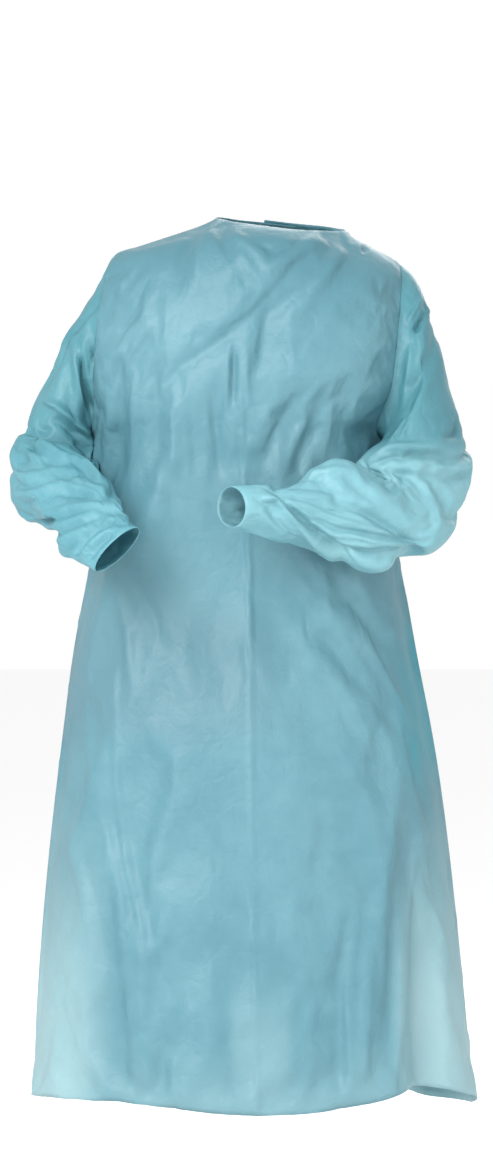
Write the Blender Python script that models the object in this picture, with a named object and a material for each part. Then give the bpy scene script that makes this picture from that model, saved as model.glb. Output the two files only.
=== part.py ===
# A procedure gown of thin film, worn and hollow: a front, two back panels that lap
# at the centre back, and two set-in sleeves bent at the elbow.
# +X is the wearer's left, the front faces -Y, and the origin lies between the
# shoulders, where the gown hangs. Left and right are the wearer's own.

import math
from collections import namedtuple

import bmesh
import bpy
import numpy as np

MM = 0.001

# ---- driving dimensions, in millimetres ----

WALL = 1.2                # thickness of the cloth wall
SEAM_GAP = 0.3            # clear gap between two pieces at a seam
SHARPEST_MITRE = 0.2      # sine of half the sharpest angle at which two walls meet
LAP_LIFT = 2.0            # how far each back panel leaves the middle of the lap
LAP_REACH = 0.08          # share of the back that each panel runs past the centre
LAP_FADE = 0.10           # share of the back over which the lift fades out

SHOULDER_COLUMNS = 6      # grid columns along each shoulder seam
NECK_COLUMNS = 14         # columns along the front of the neck opening
BACK_NECK_COLUMNS = 8     # columns from a neck point to the back panel's free edge
ARM_ROWS = 10             # rows from the shoulder to the underarm
SKIRT_ROWS = 15           # rows from the underarm to the hem
SLEEVE_RINGS = 20         # rings from the armhole to the wrist
EVEN_RING = 8             # the first ring whose points stand evenly round it
SAMPLES = 240             # points of a section's outline before it is divided evenly

NECK_CENTRE = (29.0, 0.0)         # middle of the neck opening, seen from above
NECK_HALF_WIDTH = 81.5
NECK_FRONT = 65.0                 # how far the neck opening reaches forward
NECK_BACK = 60.0                  # and backward
NECK_RIGHT_LEVEL = 3.0            # height of the neck point on the wearer's right
NECK_LEFT_LEVEL = -16.5
NECK_FRONT_DIP = 9.0
NECK_BACK_RISE = 11.0
SHOULDER_SAG = 4.0                # the right shoulder seam hangs a little between its ends

UNDERARM_LEVEL = -280.0
SQUARENESS = 0.83                 # 1 gives an ellipse, less gives a boxier section
SHOULDER_ROUNDING = 0.62          # how fast the cloth leaves the shoulder seam
SHOULDER_REACH = 0.90             # share of the armhole over which it rounds over
COLUMN_SPREAD = 1.6               # how fast the columns leave the spacing of the top edge

SEAM_FADE = 0.12                  # share of the front over which wide folds end at its seams
FOLD_ENDS = 3                     # how late a wide fold fades towards its ends
DRAPE_TOP_WIDTH = 0.7             # a long fold's width at its top, as a share of its hem's

CREASE_ANGLE = math.radians(50)   # a corner sharper than this is shaded as an edge
FILM_ROUGHNESS = 0.42
FRONT_COLOUR = (0.20, 0.50, 0.56)
BACK_RIGHT_COLOUR = (0.19, 0.48, 0.54)
BACK_LEFT_COLOUR = (0.21, 0.52, 0.58)
SLEEVE_COLOUR = (0.24, 0.62, 0.70)

# An armhole: its top, its underarm point, and how far its two halves swell sideways
# and reach forward and back from the line between them.
Armhole = namedtuple("Armhole", "tip underarm front_swell front_reach back_swell back_reach")
RIGHT_ARMHOLE = Armhole((-178, 0, -38), (-195, 20, UNDERARM_LEVEL), -17, 60, -8, 52)
LEFT_ARMHOLE = Armhole((178, 0, -51), (152, -20, UNDERARM_LEVEL), 5, 56, 14, 60)

# The torso and skirt, by level: where the side seams lie from the front and in depth,
# and how far the front and the back stand out.
Section = namedtuple("Section", "level right left right_y left_y front back")
TORSO = [
    Section(UNDERARM_LEVEL, -195, 152, 20, -20, -135, 125),
    Section(-305, -200, 162, 18, -18, -133, 125),
    Section(-345, -200, 165, 15, -14, -131, 124),
    Section(-400, -207, 170, 10, -8, -128, 123),
    Section(-450, -216, 184, 5, 0, -129, 125),
    Section(-535, -233, 199, 0, 8, -138, 137),
    Section(-640, -246, 219, 0, 12, -151, 154),
    Section(-745, -259, 236, 0, 15, -163, 168),
    Section(-880, -272, 252, 0, 18, -175, 182),
    Section(-1010, -281, 265, 0, 20, -185, 192),
    Section(-1130, -284, 275, 0, 22, -191, 199),
]

# The hem's level round the gown: around runs 0 to 1 over the front, from the wearer's
# right seam to the left one, and 1 to 2 over the back to the right seam again.
Hem = namedtuple("Hem", "around level")
HEM = [
    Hem(0.00, -1107),
    Hem(0.15, -1094),
    Hem(0.32, -1092),
    Hem(0.45, -1102),
    Hem(0.58, -1100),
    Hem(0.70, -1088),
    Hem(0.78, -1076),
    Hem(0.90, -1100),
    Hem(1.00, -1121),
    Hem(1.30, -1124),
    Hem(1.70, -1120),
    Hem(2.00, -1107),
]

# Long folds of the skirt: each starts at nothing at its top and is deepest at the hem.
# Depths below zero go in, and the half width is a share of the front or back.
Drape = namedtuple("Drape", "top_around top_level hem_around half_width depth")
DRAPES = [
    Drape(0.840, -430, 0.800, 0.060, -44),
    Drape(0.940, -560, 0.930, 0.060, 10),
    Drape(0.160, -640, 0.270, 0.060, -10),
    Drape(0.620, -800, 0.630, 0.045, -9),
    Drape(0.060, -560, 0.060, 0.060, 6),
    Drape(1.120, -500, 1.160, 0.060, -18),
    Drape(1.280, -420, 1.270, 0.070, 11),
    Drape(1.400, -560, 1.390, 0.050, -15),
    Drape(1.620, -520, 1.640, 0.060, -13),
    Drape(1.740, -420, 1.760, 0.070, 12),
    Drape(1.860, -560, 1.870, 0.055, -17),
]

# Wide soft folds, each along a straight line between two places. On the front panel a
# place is X and Z, and widths are in millimetres. On a sleeve it is a ring's number and
# a point's number round the ring, and widths are in points. Depths below zero go in.
Fold = namedtuple("Fold", "from_a from_b to_a to_b half_width depth")
FRONT_FOLDS = [
    Fold(84, -40, 22, -130, 24, -8),
    Fold(22, -130, -12, -215, 22, -7),
    Fold(112, -60, 60, -150, 20, -5),
    Fold(-38, -28, -62, -110, 22, -7),
    Fold(-84, -30, -112, -120, 22, -6),
    Fold(4, -120, -82, -176, 26, 6),
    Fold(110, -345, 62, -245, 24, -9),
    Fold(50, -345, 34, -235, 20, -7),
    Fold(-108, -345, -116, -190, 24, -7),
    Fold(-60, -345, -52, -200, 22, -6),
    Fold(100, -450, 172, -570, 26, -8),
    Fold(72, -500, 146, -630, 26, -7),
    Fold(-6, -300, -14, -700, 20, 4),
    Fold(-176, -560, -182, -760, 24, -6),
]
LEFT_SLEEVE_FOLDS = [
    Fold(1.0, 1.5, 5.0, 8.0, 1.8, -6),
    Fold(3.0, 0.5, 6.5, 4.5, 1.6, -5),
    Fold(10.0, -1.0, 10.5, 7.0, 1.5, -9),
    Fold(12.0, 1.5, 11.5, 6.5, 1.4, 4),
    Fold(19.0, 6.0, 13.0, 2.0, 1.4, -6),
    Fold(16.0, 7.0, 12.5, 3.0, 1.3, -7),
    Fold(5.0, 14.0, 9.0, 18.0, 1.6, -5),
    Fold(11.0, 17.0, 14.0, 19.0, 1.6, -5),
]
RIGHT_SLEEVE_FOLDS = [
    Fold(2.5, 0.0, 6.0, 8.5, 1.5, -8),
    Fold(7.0, 0.5, 9.5, 7.5, 1.4, -6),
    Fold(18.0, 5.0, 11.5, 1.5, 1.3, -5),
    Fold(18.0, 8.0, 12.0, 5.5, 1.3, -5),
    Fold(18.0, 18.0, 12.0, 19.0, 1.4, -5),
    Fold(5.0, 14.0, 9.0, 18.0, 1.6, -5),
    Fold(11.0, 14.0, 14.0, 16.0, 1.5, -5),
]

# Rings of a sleeve after its armhole: the centre, the half axis to the sleeve's outer
# side (over the shoulder, then down past the elbow), the half axis to its front, and how
# far the middle of its back lies sideways from the centre.
Ring = namedtuple("Ring", "x y z outer_x outer_y outer_z front_x front_y front_z back_x")
LEFT_SLEEVE = [
    Ring(183, -14, -173, 10, 9, 110, 1, -59, 0, 6),
    Ring(190, -20, -184, 15, 12, 103, 1, -60, 3, 5),
    Ring(195, -28, -199, 19, 16, 92, 1, -60, 6, 4),
    Ring(197, -36, -221, 25, 18, 74, 1, -60, 8, 3),
    Ring(197, -46, -239, 36, 20, 59, 0, -59, 8, 1),
    Ring(198, -57, -257, 42, 24, 44, -1, -58, 8, 1),
    Ring(200, -65, -273, 50, 24, 32, -4, -56, 6, 4),
    Ring(200, -73, -290, 57, 24, 17, -8, -54, 3, 8),
    Ring(203, -78, -308, 64, 22, 2, -12, -52, 0, 12),
    Ring(203, -84, -325, 62, 19, -8, -11, -52, -8, 12),
    Ring(201, -92, -346, 53, 14, -24, -3, -52, -9, 6),
    Ring(191, -107, -367, 40, 6, -42, 9, -49, -5, -7),
    Ring(166, -133, -376, 27, 3, -54, 20, -44, 0, -20),
    Ring(138, -158, -377, 22, 2, -69, 26, -39, 0, -26),
    Ring(103, -178, -376, 15, 1, -64, 27, -36, 0, -27),
    Ring(70, -192, -377, 10, 1, -50, 25, -33, 0, -25),
    Ring(41, -206, -375, 6, 1, -40, 23, -30, 0, -23),
    Ring(17, -219, -371, 3, 0, -34, 20, -26, 0, -20),
    Ring(-3, -229, -368, 2, 0, -28, 18, -24, 0, -18),
    Ring(-33, -242, -368, 1, 0, -24, 17, -21, 0, -17),
]
RIGHT_SLEEVE = [
    Ring(-203, 9, -172, 13, -9, 111, -9, -58, 0, -4),
    Ring(-214, 8, -192, 2, -9, 95, -7, -58, 0, -3),
    Ring(-224, 8, -212, -8, -8, 79, -6, -58, -3, -2),
    Ring(-230, 7, -229, -19, -8, 67, -5, -58, -5, -1),
    Ring(-237, 7, -247, -27, -7, 54, -4, -57, -7, 0),
    Ring(-244, 6, -261, -33, -7, 46, -3, -55, -8, 2),
    Ring(-249, 4, -276, -39, -7, 37, -3, -55, -8, 3),
    Ring(-250, 1, -291, -43, -5, 28, -2, -54, 0, 2),
    Ring(-252, -4, -305, -48, -4, 15, 0, -51, 14, 0),
    Ring(-254, -20, -318, -54, -4, 5, 2, -40, 35, -2),
    Ring(-255, -46, -328, -56, -6, -2, 4, -23, 48, -4),
    Ring(-250, -95, -349, -52, -14, -6, 12, -14, 48, -12),
    Ring(-231, -143, -370, -46, -17, -10, 17, -12, 44, -17),
    Ring(-208, -186, -388, -34, -14, -12, 20, -10, 36, -20),
    Ring(-190, -220, -402, -26, -12, -12, 19, -9, 29, -19),
    Ring(-180, -240, -410, -23, -11, -10, 18, -8, 26, -18),
    Ring(-168, -262, -419, -21, -10, -10, 16, -7, 24, -16),
]

FRONT_COLUMNS = 2 * SHOULDER_COLUMNS + NECK_COLUMNS
BACK_COLUMNS = SHOULDER_COLUMNS + BACK_NECK_COLUMNS
ROWS = ARM_ROWS + SKIRT_ROWS
RING_POINTS = 2 * ARM_ROWS

FRONT, BACK = -1, 1       # which way a half of the torso faces along Y


# ---- small helpers ----

def blend(a, b, share):
    return a + (b - a) * share


def ease(share):
    """From 0 to 1 with level ends."""
    share = np.clip(share, 0, 1)
    return share * share * (3 - 2 * share)


def smooth_rows(positions, values, wanted):
    """A smooth curve through the rows of a table, read at the wanted positions."""
    positions = np.asarray(positions, float)
    values = np.asarray(values, float)
    wanted = np.clip(np.asarray(wanted, float), positions[0], positions[-1])
    slopes = np.gradient(values, positions, axis=0)
    at = np.clip(np.searchsorted(positions, wanted) - 1, 0, len(positions) - 2)
    span = positions[at + 1] - positions[at]
    t = (wanted - positions[at]) / span
    if values.ndim == 2:
        t = t[:, None]
        span = span[:, None]
    rise = values[at] * (2 * t**3 - 3 * t**2 + 1) + values[at + 1] * (3 * t**2 - 2 * t**3)
    lean = slopes[at] * (t**3 - 2 * t**2 + t) + slopes[at + 1] * (t**3 - t**2)
    return rise + lean * span


def hem_level(around):
    """The hem's level at places round the gown."""
    places = [row.around for row in HEM]
    return smooth_rows(places, [row.level for row in HEM], np.mod(around, 2))


def torso_section(level):
    """The torso's seams, front and back at one level below the arms."""
    levels = [-row.level for row in TORSO]
    return Section(*smooth_rows(levels, TORSO, [-level])[0])


# ---- the armholes and the top edge ----

def armhole_share(row):
    """How far down the armhole a row lies: closer together at its two ends."""
    even = row / ARM_ROWS
    return 0.5 * even + 0.25 * (1 - math.cos(math.pi * even))


def armhole_point(armhole, row, facing):
    """A point of the armhole's front or back half."""
    share = armhole_share(row)
    x, y, z = (blend(a, b, share) for a, b in zip(armhole.tip, armhole.underarm))
    bow = math.sin(math.acos(1 - 2 * share))
    if facing == FRONT:
        return np.array((x + armhole.front_swell * bow, y - armhole.front_reach * bow, z))
    return np.array((x + armhole.back_swell * bow, y + armhole.back_reach * bow, z))


def neck_point(angle, facing):
    """A point of the neck opening: angle 0 is the wearer's left, half a turn the right."""
    x = NECK_CENTRE[0] + NECK_HALF_WIDTH * math.cos(angle)
    level = blend(NECK_RIGHT_LEVEL, NECK_LEFT_LEVEL, (1 + math.cos(angle)) / 2)
    if facing == FRONT:
        y = NECK_CENTRE[1] - NECK_FRONT * math.sin(angle)
        return np.array((x, y, level - NECK_FRONT_DIP * math.sin(angle)))
    y = NECK_CENTRE[1] + NECK_BACK * math.sin(angle)
    return np.array((x, y, level + NECK_BACK_RISE * math.sin(angle)))


def shoulder_seam(armhole, side):
    """Points from the armhole to the neck, on the wearer's right (0) or left (1)."""
    start = np.array(armhole.tip, float)
    end = neck_point(math.pi * (1 - side), FRONT)
    points = []
    for column in range(SHOULDER_COLUMNS + 1):
        share = column / SHOULDER_COLUMNS
        point = blend(start, end, share)
        point[2] -= SHOULDER_SAG * (1 - side) * math.sin(math.pi * share)
        points.append(point)
    return points


def front_top():
    """The front's top edge: right shoulder, neck, left shoulder."""
    right = shoulder_seam(RIGHT_ARMHOLE, 0)
    left = shoulder_seam(LEFT_ARMHOLE, 1)
    neck = [neck_point(math.pi * (1 - i / NECK_COLUMNS), FRONT) for i in range(1, NECK_COLUMNS)]
    return np.array(right + neck + left[::-1])


def back_top(side):
    """A back panel's top edge: its shoulder, then the neck to past the centre back."""
    armhole = LEFT_ARMHOLE if side else RIGHT_ARMHOLE
    sweep = math.pi * (0.5 + LAP_REACH)
    neck = []
    for i in range(1, BACK_NECK_COLUMNS + 1):
        turned = sweep * i / BACK_NECK_COLUMNS
        neck.append(neck_point(turned if side else math.pi - turned, BACK))
    return np.array(shoulder_seam(armhole, side) + neck)


# ---- the torso ----

def half_section(right_edge, left_edge, crown, shares):
    """The outline of one half of a section, from the right edge to the left one, read at
    shares of its length. crown is the half's outermost Y."""
    turn = np.linspace(0, math.pi, SAMPLES)
    across = np.sign(np.cos(turn)) * np.abs(np.cos(turn)) ** SQUARENESS
    out = np.sin(turn).clip(0) ** SQUARENESS
    x = blend(right_edge[0], left_edge[0], (1 - across) / 2)
    edge_y = blend(right_edge[1], left_edge[1], (1 - across) / 2)
    y = blend(edge_y, crown, out)
    run = np.concatenate([[0], np.cumsum(np.hypot(np.diff(x), np.diff(y)))])
    run /= run[-1]
    return np.stack([np.interp(shares, run, x), np.interp(shares, run, y)], axis=-1)


def torso_half(facing, shares, top):
    """Rows of points for one panel: shares say where each column lies on the half."""
    crown_name = "front" if facing == FRONT else "back"
    line = np.stack([
        blend(RIGHT_ARMHOLE.tip[0], LEFT_ARMHOLE.tip[0], shares),
        blend(RIGHT_ARMHOLE.tip[1], LEFT_ARMHOLE.tip[1], shares),
    ], axis=-1)
    around = shares if facing == FRONT else 2 - shares
    rows = []
    for row in range(ARM_ROWS + 1):
        share = armhole_share(row)
        right = armhole_point(RIGHT_ARMHOLE, row, facing)
        left = armhole_point(LEFT_ARMHOLE, row, facing)
        over = math.sin(math.pi / 2 * min(1, share / SHOULDER_REACH) ** SHOULDER_ROUNDING)
        chest = getattr(TORSO[0], crown_name)
        crown = blend(blend(right[1], left[1], 0.5), chest, over)
        spread = half_section(right, left, crown, shares)
        points = np.empty((len(shares), 3))
        points[:, 0] = spread[:, 0] + (top[:, 0] - line[:, 0]) * (1 - share) ** COLUMN_SPREAD
        points[:, 1] = spread[:, 1] + (top[:, 1] - line[:, 1]) * (1 - over)
        points[:, 2] = blend(top[:, 2], UNDERARM_LEVEL, share)
        edges = (shares == 0) | (shares == 1)
        points[edges] = np.where(shares[edges, None] == 0, right, left)
        rows.append(points)
    bottom = hem_level(around)
    for row in range(1, SKIRT_ROWS + 1):
        levels = blend(UNDERARM_LEVEL, bottom, row / SKIRT_ROWS)
        points = np.empty((len(shares), 3))
        for column, level in enumerate(levels):
            cut = torso_section(level)
            right = (cut.right, cut.right_y)
            left = (cut.left, cut.left_y)
            points[column, :2] = half_section(right, left, getattr(cut, crown_name), shares[column])
            points[column, 2] = level
        rows.append(points)
    return np.array(rows)


# ---- folds ----

def drape_depth(around, level):
    """How far the skirt's long folds move the cloth at one place."""
    total = 0.0
    for fold in DRAPES:
        bottom = float(hem_level([fold.hem_around])[0])
        down = (fold.top_level - level) / (fold.top_level - bottom)
        if down <= 0:
            continue
        middle = blend(fold.top_around, fold.hem_around, min(down, 1))
        width = fold.half_width * blend(DRAPE_TOP_WIDTH, 1, min(down, 1))
        off = abs((around - middle + 1) % 2 - 1) / width
        total += fold.depth * ease(down) * (1 - ease(off))
    return total


def fold_depth(folds, a, b):
    """How far the wide folds of one table move the cloth at one place."""
    total = 0.0
    for fold in folds:
        run = np.array((fold.to_a - fold.from_a, fold.to_b - fold.from_b), float)
        to = np.array((a - fold.from_a, b - fold.from_b))
        near = min(max(float(to @ run / (run @ run)), 0), 1)
        off = float(np.hypot(*(to - run * near))) / fold.half_width
        total += fold.depth * (1 - ease(off)) * (1 - abs(2 * near - 1) ** FOLD_ENDS)
    return total


def front_fold_depth(x, z, share):
    """The front panel's wide folds, which end before its seams."""
    inside = float(ease(share / SEAM_FADE) * ease((1 - share) / SEAM_FADE))
    return fold_depth(FRONT_FOLDS, x, z) * inside


def lap_lift(share, side):
    """The lap at the centre back: the left panel lies outside the right one."""
    past = abs(share - 0.5) - LAP_REACH
    return (LAP_LIFT if side else -LAP_LIFT) * float(1 - ease(past / LAP_FADE))


# ---- the sleeves ----

def sleeve_rings(armhole, table):
    """Rings from the armhole seam to the wrist, each with its points in the same order:
    over the top, down the front, under the arm and up the back."""
    first = [armhole_point(armhole, row, FRONT) for row in range(ARM_ROWS + 1)]
    first += [armhole_point(armhole, row, BACK) for row in range(ARM_ROWS - 1, 0, -1)]
    even = 2 * math.pi * np.arange(RING_POINTS) / RING_POINTS
    half = [math.acos(1 - 2 * armhole_share(row)) for row in range(ARM_ROWS + 1)]
    seam = np.array(half + [2 * math.pi - angle for angle in half[-2:0:-1]])
    places = np.linspace(0, len(table) - 1, SLEEVE_RINGS)
    forms = smooth_rows(np.arange(len(table)), table, places)
    rings = [np.array(first)]
    for number, form in enumerate(forms, 1):
        angles = blend(seam, even, min(1, number / EVEN_RING))[:, None]
        middle, outer, front = form[0:3], form[3:6], form[6:9]
        back = np.array((form[9], -front[1], -front[2]))
        sides = front * np.sin(angles).clip(0) - back * np.sin(angles).clip(None, 0)
        rings.append(middle + outer * np.cos(angles) + sides)
    return np.array(rings)


def fold_sleeve(panel, folds):
    """Presses a sleeve's wide folds into it, from its second ring on."""
    normals = next(shared_normals([panel]))
    for ring in range(2, SLEEVE_RINGS + 1):
        for point in range(RING_POINTS):
            turned = (point, point - RING_POINTS, point + RING_POINTS)
            move = sum(fold_depth(folds, ring, place) for place in turned)
            panel.grid[ring, point] += normals[ring, point] * move


# ---- walls ----

def grid_faces(grid, closed):
    """Corner indices of a grid's cells; a closed grid joins its last column to its first."""
    rows, columns = grid.shape[:2]
    last = columns if closed else columns - 1
    for row in range(rows - 1):
        for column in range(last):
            after = (column + 1) % columns
            yield (row, column), (row + 1, column), (row + 1, after), (row, after)


def key_of(point):
    return tuple(np.round(point, 4))


def shared_normals(panels):
    """Outward directions at every point, averaged over all panels that meet there, so
    that neighbouring walls meet in a mitre."""
    found = {}
    for panel in panels:
        for corners in grid_faces(panel.grid, panel.closed):
            a, b, c, d = (panel.grid[corner] for corner in corners)
            normal = np.cross(c - a, d - b) * panel.turn
            for corner in (a, b, c, d):
                found[key_of(corner)] = found.get(key_of(corner), 0) + normal
    for panel in panels:
        normals = np.array([[found[key_of(point)] for point in row] for row in panel.grid])
        yield normals / np.linalg.norm(normals, axis=-1, keepdims=True)


def directions(steps):
    return steps / np.linalg.norm(steps, axis=-1, keepdims=True)


def pull_in(edge, inner, normals, closed):
    """A seam edge's move towards its own panel. The walls meet in a mitre, so the move
    grows at corners of the seam and where the walls meet at a sharp angle."""
    if closed:
        coming = directions(edge - np.roll(edge, 1, axis=0))
        going = np.roll(coming, -1, axis=0)
    else:
        runs = directions(np.diff(edge, axis=0))
        coming = np.concatenate([runs[:1], runs])
        going = np.concatenate([runs, runs[-1:]])
    tangent = directions(coming + going)
    corner = np.sum(coming * tangent, axis=-1, keepdims=True)
    inward = inner - edge
    inward = directions(inward - tangent * np.sum(inward * tangent, axis=-1, keepdims=True))
    across = directions(np.cross(tangent, normals))
    square = np.abs(np.sum(inward * across, axis=-1, keepdims=True))
    return inward * (SEAM_GAP / 2) / (square * corner).clip(SHARPEST_MITRE)


def open_seams(panel, normals):
    """The panel's grid with its seam edges pulled clear of the neighbours."""
    grid = panel.grid
    moved = np.zeros_like(grid)
    for side in panel.seam_sides:
        inner = 1 if side == 0 else -2
        moved[:, side] += pull_in(grid[:, side], grid[:, inner], normals[:, side], False)
    for start, stop in panel.seam_tops:
        along = slice(start, stop)
        moved[0, along] += pull_in(grid[0, along], grid[1, along], normals[0, along], panel.closed)
    return grid + moved


def build_wall(panel, normals, material, collection):
    """One closed wall: an outer and an inner skin, and the edge between them."""
    grid = open_seams(panel, normals)
    rows, columns = grid.shape[:2]
    mesh = bmesh.new()
    skins = []
    for offset in (WALL / 2, -WALL / 2):
        points = (grid + normals * offset) * MM
        skins.append([[mesh.verts.new(point) for point in row] for row in points])
    outer, inner = skins
    for corners in grid_faces(grid, panel.closed):
        ring = corners if panel.turn > 0 else corners[::-1]
        mesh.faces.new([outer[row][column] for row, column in ring])
        mesh.faces.new([inner[row][column] for row, column in reversed(ring)])
    last = columns if panel.closed else columns - 1
    rims = []
    for column in range(last):
        after = (column + 1) % columns
        rims.append(((0, column), (0, after)))
        rims.append(((rows - 1, after), (rows - 1, column)))
    if not panel.closed:
        for row in range(rows - 1):
            rims.append(((row + 1, 0), (row, 0)))
            rims.append(((row, columns - 1), (row + 1, columns - 1)))
    for (r0, c0), (r1, c1) in rims:
        quad = [outer[r0][c0], outer[r1][c1], inner[r1][c1], inner[r0][c0]]
        mesh.faces.new(quad if panel.turn > 0 else quad[::-1])
    bmesh.ops.triangulate(mesh, faces=mesh.faces[:])
    data = bpy.data.meshes.new(panel.name)
    mesh.to_mesh(data)
    mesh.free()
    data.shade_smooth()
    data.set_sharp_from_angle(angle=CREASE_ANGLE)
    data.materials.append(material)
    piece = bpy.data.objects.new(panel.name, data)
    collection.objects.link(piece)
    return piece


def film_material(name, colour):
    """Thin satin film."""
    material = bpy.data.materials.new(name)
    material.use_nodes = True
    shader = material.node_tree.nodes["Principled BSDF"]
    shader.inputs["Base Color"].default_value = (*colour, 1)
    shader.inputs["Roughness"].default_value = FILM_ROUGHNESS
    shader.inputs["Metallic"].default_value = 0.0
    return material


# ---- the garment ----

Panel = namedtuple("Panel", "name grid turn closed seam_sides seam_tops colour")


def torso_panels():
    """The front and the two back panels, with their folds."""
    front_shares = np.linspace(0, 1, FRONT_COLUMNS + 1)
    reach = 0.5 + LAP_REACH
    right_shares = np.linspace(0, reach, BACK_COLUMNS + 1)
    left_shares = 1 - right_shares
    shoulder = SHOULDER_COLUMNS + 1
    front_seams = [(0, shoulder), (FRONT_COLUMNS - SHOULDER_COLUMNS, FRONT_COLUMNS + 1)]
    plain = [
        Panel("front", torso_half(FRONT, front_shares, front_top()), 1, False,
              [0, -1], front_seams, FRONT_COLOUR),
        Panel("back_right", torso_half(BACK, right_shares, back_top(0)), -1, False,
              [0], [(0, shoulder)], BACK_RIGHT_COLOUR),
        Panel("back_left", torso_half(BACK, left_shares, back_top(1)), 1, False,
              [0], [(0, shoulder)], BACK_LEFT_COLOUR),
    ]
    places = [front_shares, 2 - right_shares, 2 - left_shares]
    for panel, normals, around in zip(plain, list(shared_normals(plain)), places):
        for row in range(1, ROWS + 1):
            for column, place in enumerate(around):
                x, _, z = panel.grid[row, column]
                move = drape_depth(place, z)
                if panel.name == "front":
                    move += front_fold_depth(x, z, place)
                panel.grid[row, column] += normals[row, column] * move
    for panel, side, shares in ((plain[1], 0, right_shares), (plain[2], 1, left_shares)):
        lifts = np.array([lap_lift(share, side) for share in shares])
        panel.grid[:] += list(shared_normals([panel]))[0] * lifts[None, :, None]
    return plain


def main():
    for thing in list(bpy.data.objects):
        bpy.data.objects.remove(thing, do_unlink=True)
    collection = bpy.data.collections.new("procedure_gown")
    bpy.context.scene.collection.children.link(collection)
    panels = torso_panels()
    right_rings = sleeve_rings(RIGHT_ARMHOLE, RIGHT_SLEEVE)
    left_rings = sleeve_rings(LEFT_ARMHOLE, LEFT_SLEEVE)
    panels.append(Panel("sleeve_right", right_rings, 1, True, [], [(0, RING_POINTS)],
                        SLEEVE_COLOUR))
    panels.append(Panel("sleeve_left", left_rings, -1, True, [], [(0, RING_POINTS)],
                        SLEEVE_COLOUR))
    fold_sleeve(panels[-2], RIGHT_SLEEVE_FOLDS)
    fold_sleeve(panels[-1], LEFT_SLEEVE_FOLDS)
    for panel, normals in zip(panels, list(shared_normals(panels))):
        material = film_material(panel.name + "_film", panel.colour)
        build_wall(panel, normals, material, collection)


main()
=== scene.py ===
import math
from collections import namedtuple

import bmesh
import bpy
import numpy as np
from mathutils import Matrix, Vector
from mathutils.bvhtree import BVHTree
from mathutils.kdtree import KDTree


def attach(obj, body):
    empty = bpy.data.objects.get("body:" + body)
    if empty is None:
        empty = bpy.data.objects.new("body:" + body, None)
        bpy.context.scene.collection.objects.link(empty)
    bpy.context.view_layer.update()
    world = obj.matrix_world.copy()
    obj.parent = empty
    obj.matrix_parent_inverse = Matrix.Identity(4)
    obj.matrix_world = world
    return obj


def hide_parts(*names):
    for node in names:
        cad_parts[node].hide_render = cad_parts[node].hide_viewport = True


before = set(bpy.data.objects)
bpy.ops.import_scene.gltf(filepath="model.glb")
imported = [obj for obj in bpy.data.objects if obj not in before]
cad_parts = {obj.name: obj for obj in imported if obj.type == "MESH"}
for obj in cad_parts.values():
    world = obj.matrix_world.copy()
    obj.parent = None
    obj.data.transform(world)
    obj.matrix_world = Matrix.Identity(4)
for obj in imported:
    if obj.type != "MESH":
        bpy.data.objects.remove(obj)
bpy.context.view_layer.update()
print("frame loaded:", len(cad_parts), "pieces of cloth")

# The five sheets of film. cut is the flat width and length, and area the flat area. growth is how
# much larger than its place the film is, and hold how firmly it keeps that place while it crumples.
# creases is how deep its crisp folds are pressed at the end.
sheets = {
    "front": {
        "slot": "front_film", "film": "body", "cut": (0.70, 1.13), "area": 0.68,
        "growth": 0.016, "hold": 0.05, "creases": 1.4,
    },
    "back_right": {
        "slot": "back_film", "film": "body", "cut": (0.43, 1.12), "area": 0.395,
        "growth": 0.014, "hold": 0.05, "creases": 1.1,
    },
    "back_left": {
        "slot": "back_film", "film": "body", "cut": (0.44, 1.12), "area": 0.395,
        "growth": 0.014, "hold": 0.05, "creases": 1.1,
    },
    "sleeve_right": {
        "slot": "sleeve_film", "film": "rightForearm", "cut": (0.40, 0.46), "area": 0.153,
        "growth": 0.050, "hold": 0.07, "creases": 0.9,
    },
    "sleeve_left": {
        # painted light: the left sleeve takes the lighter left forearm colours
        "slot": "sleeve_film", "film": "litLeftForearm", "cut": (0.40, 0.52), "area": 0.173,
        "growth": 0.045, "hold": 0.07, "creases": 1.0,
    },
}
panels = list(sheets)

# camera, floor and light

studio = {
    "away": 4.0,  # from the camera to the gown
    "eye": (-0.0146, -4.0, -0.455),
    "lens": 97.8,
    "floorLevel": -1.42,  # the hem hangs about 0.29 m above the floor
    "floorSize": 60.0,
    "floorColor": (0.94, 0.94, 0.94, 1),
    "floorRoughness": 0.9,
    "skyColor": (1.0, 1.0, 1.0, 1),
    "skyStrength": 1.0,
    "lamps": {  # place, target, size and power
        "keyLamp": ((-1.8, -3.4, 1.4), (0, 0, -0.5), 2.2, 195),
        "fillLamp": ((2.6, -3.0, -0.2), (0, 0, -0.7), 2.4, 34),
        "backLamp": ((0.8, 3.0, 1.4), (0, 0, -0.5), 2.0, 60),
    },
}


def makeCamera():
    data = bpy.data.cameras.new("camera")
    data.lens = studio["lens"]
    data.dof.use_dof = False
    camera = bpy.data.objects.new("camera", data)
    camera.location = studio["eye"]
    camera.rotation_euler = (math.radians(90), 0, 0)
    bpy.context.scene.collection.objects.link(camera)
    bpy.context.scene.camera = camera


def makeLamp(name, place, target, size, power):
    data = bpy.data.lights.new(name, "AREA")
    data.size = size
    data.energy = power
    lamp = bpy.data.objects.new(name, data)
    lamp.location = place
    lamp.rotation_euler = (Vector(target) - Vector(place)).to_track_quat("-Z", "Y").to_euler()
    bpy.context.scene.collection.objects.link(lamp)


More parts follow.
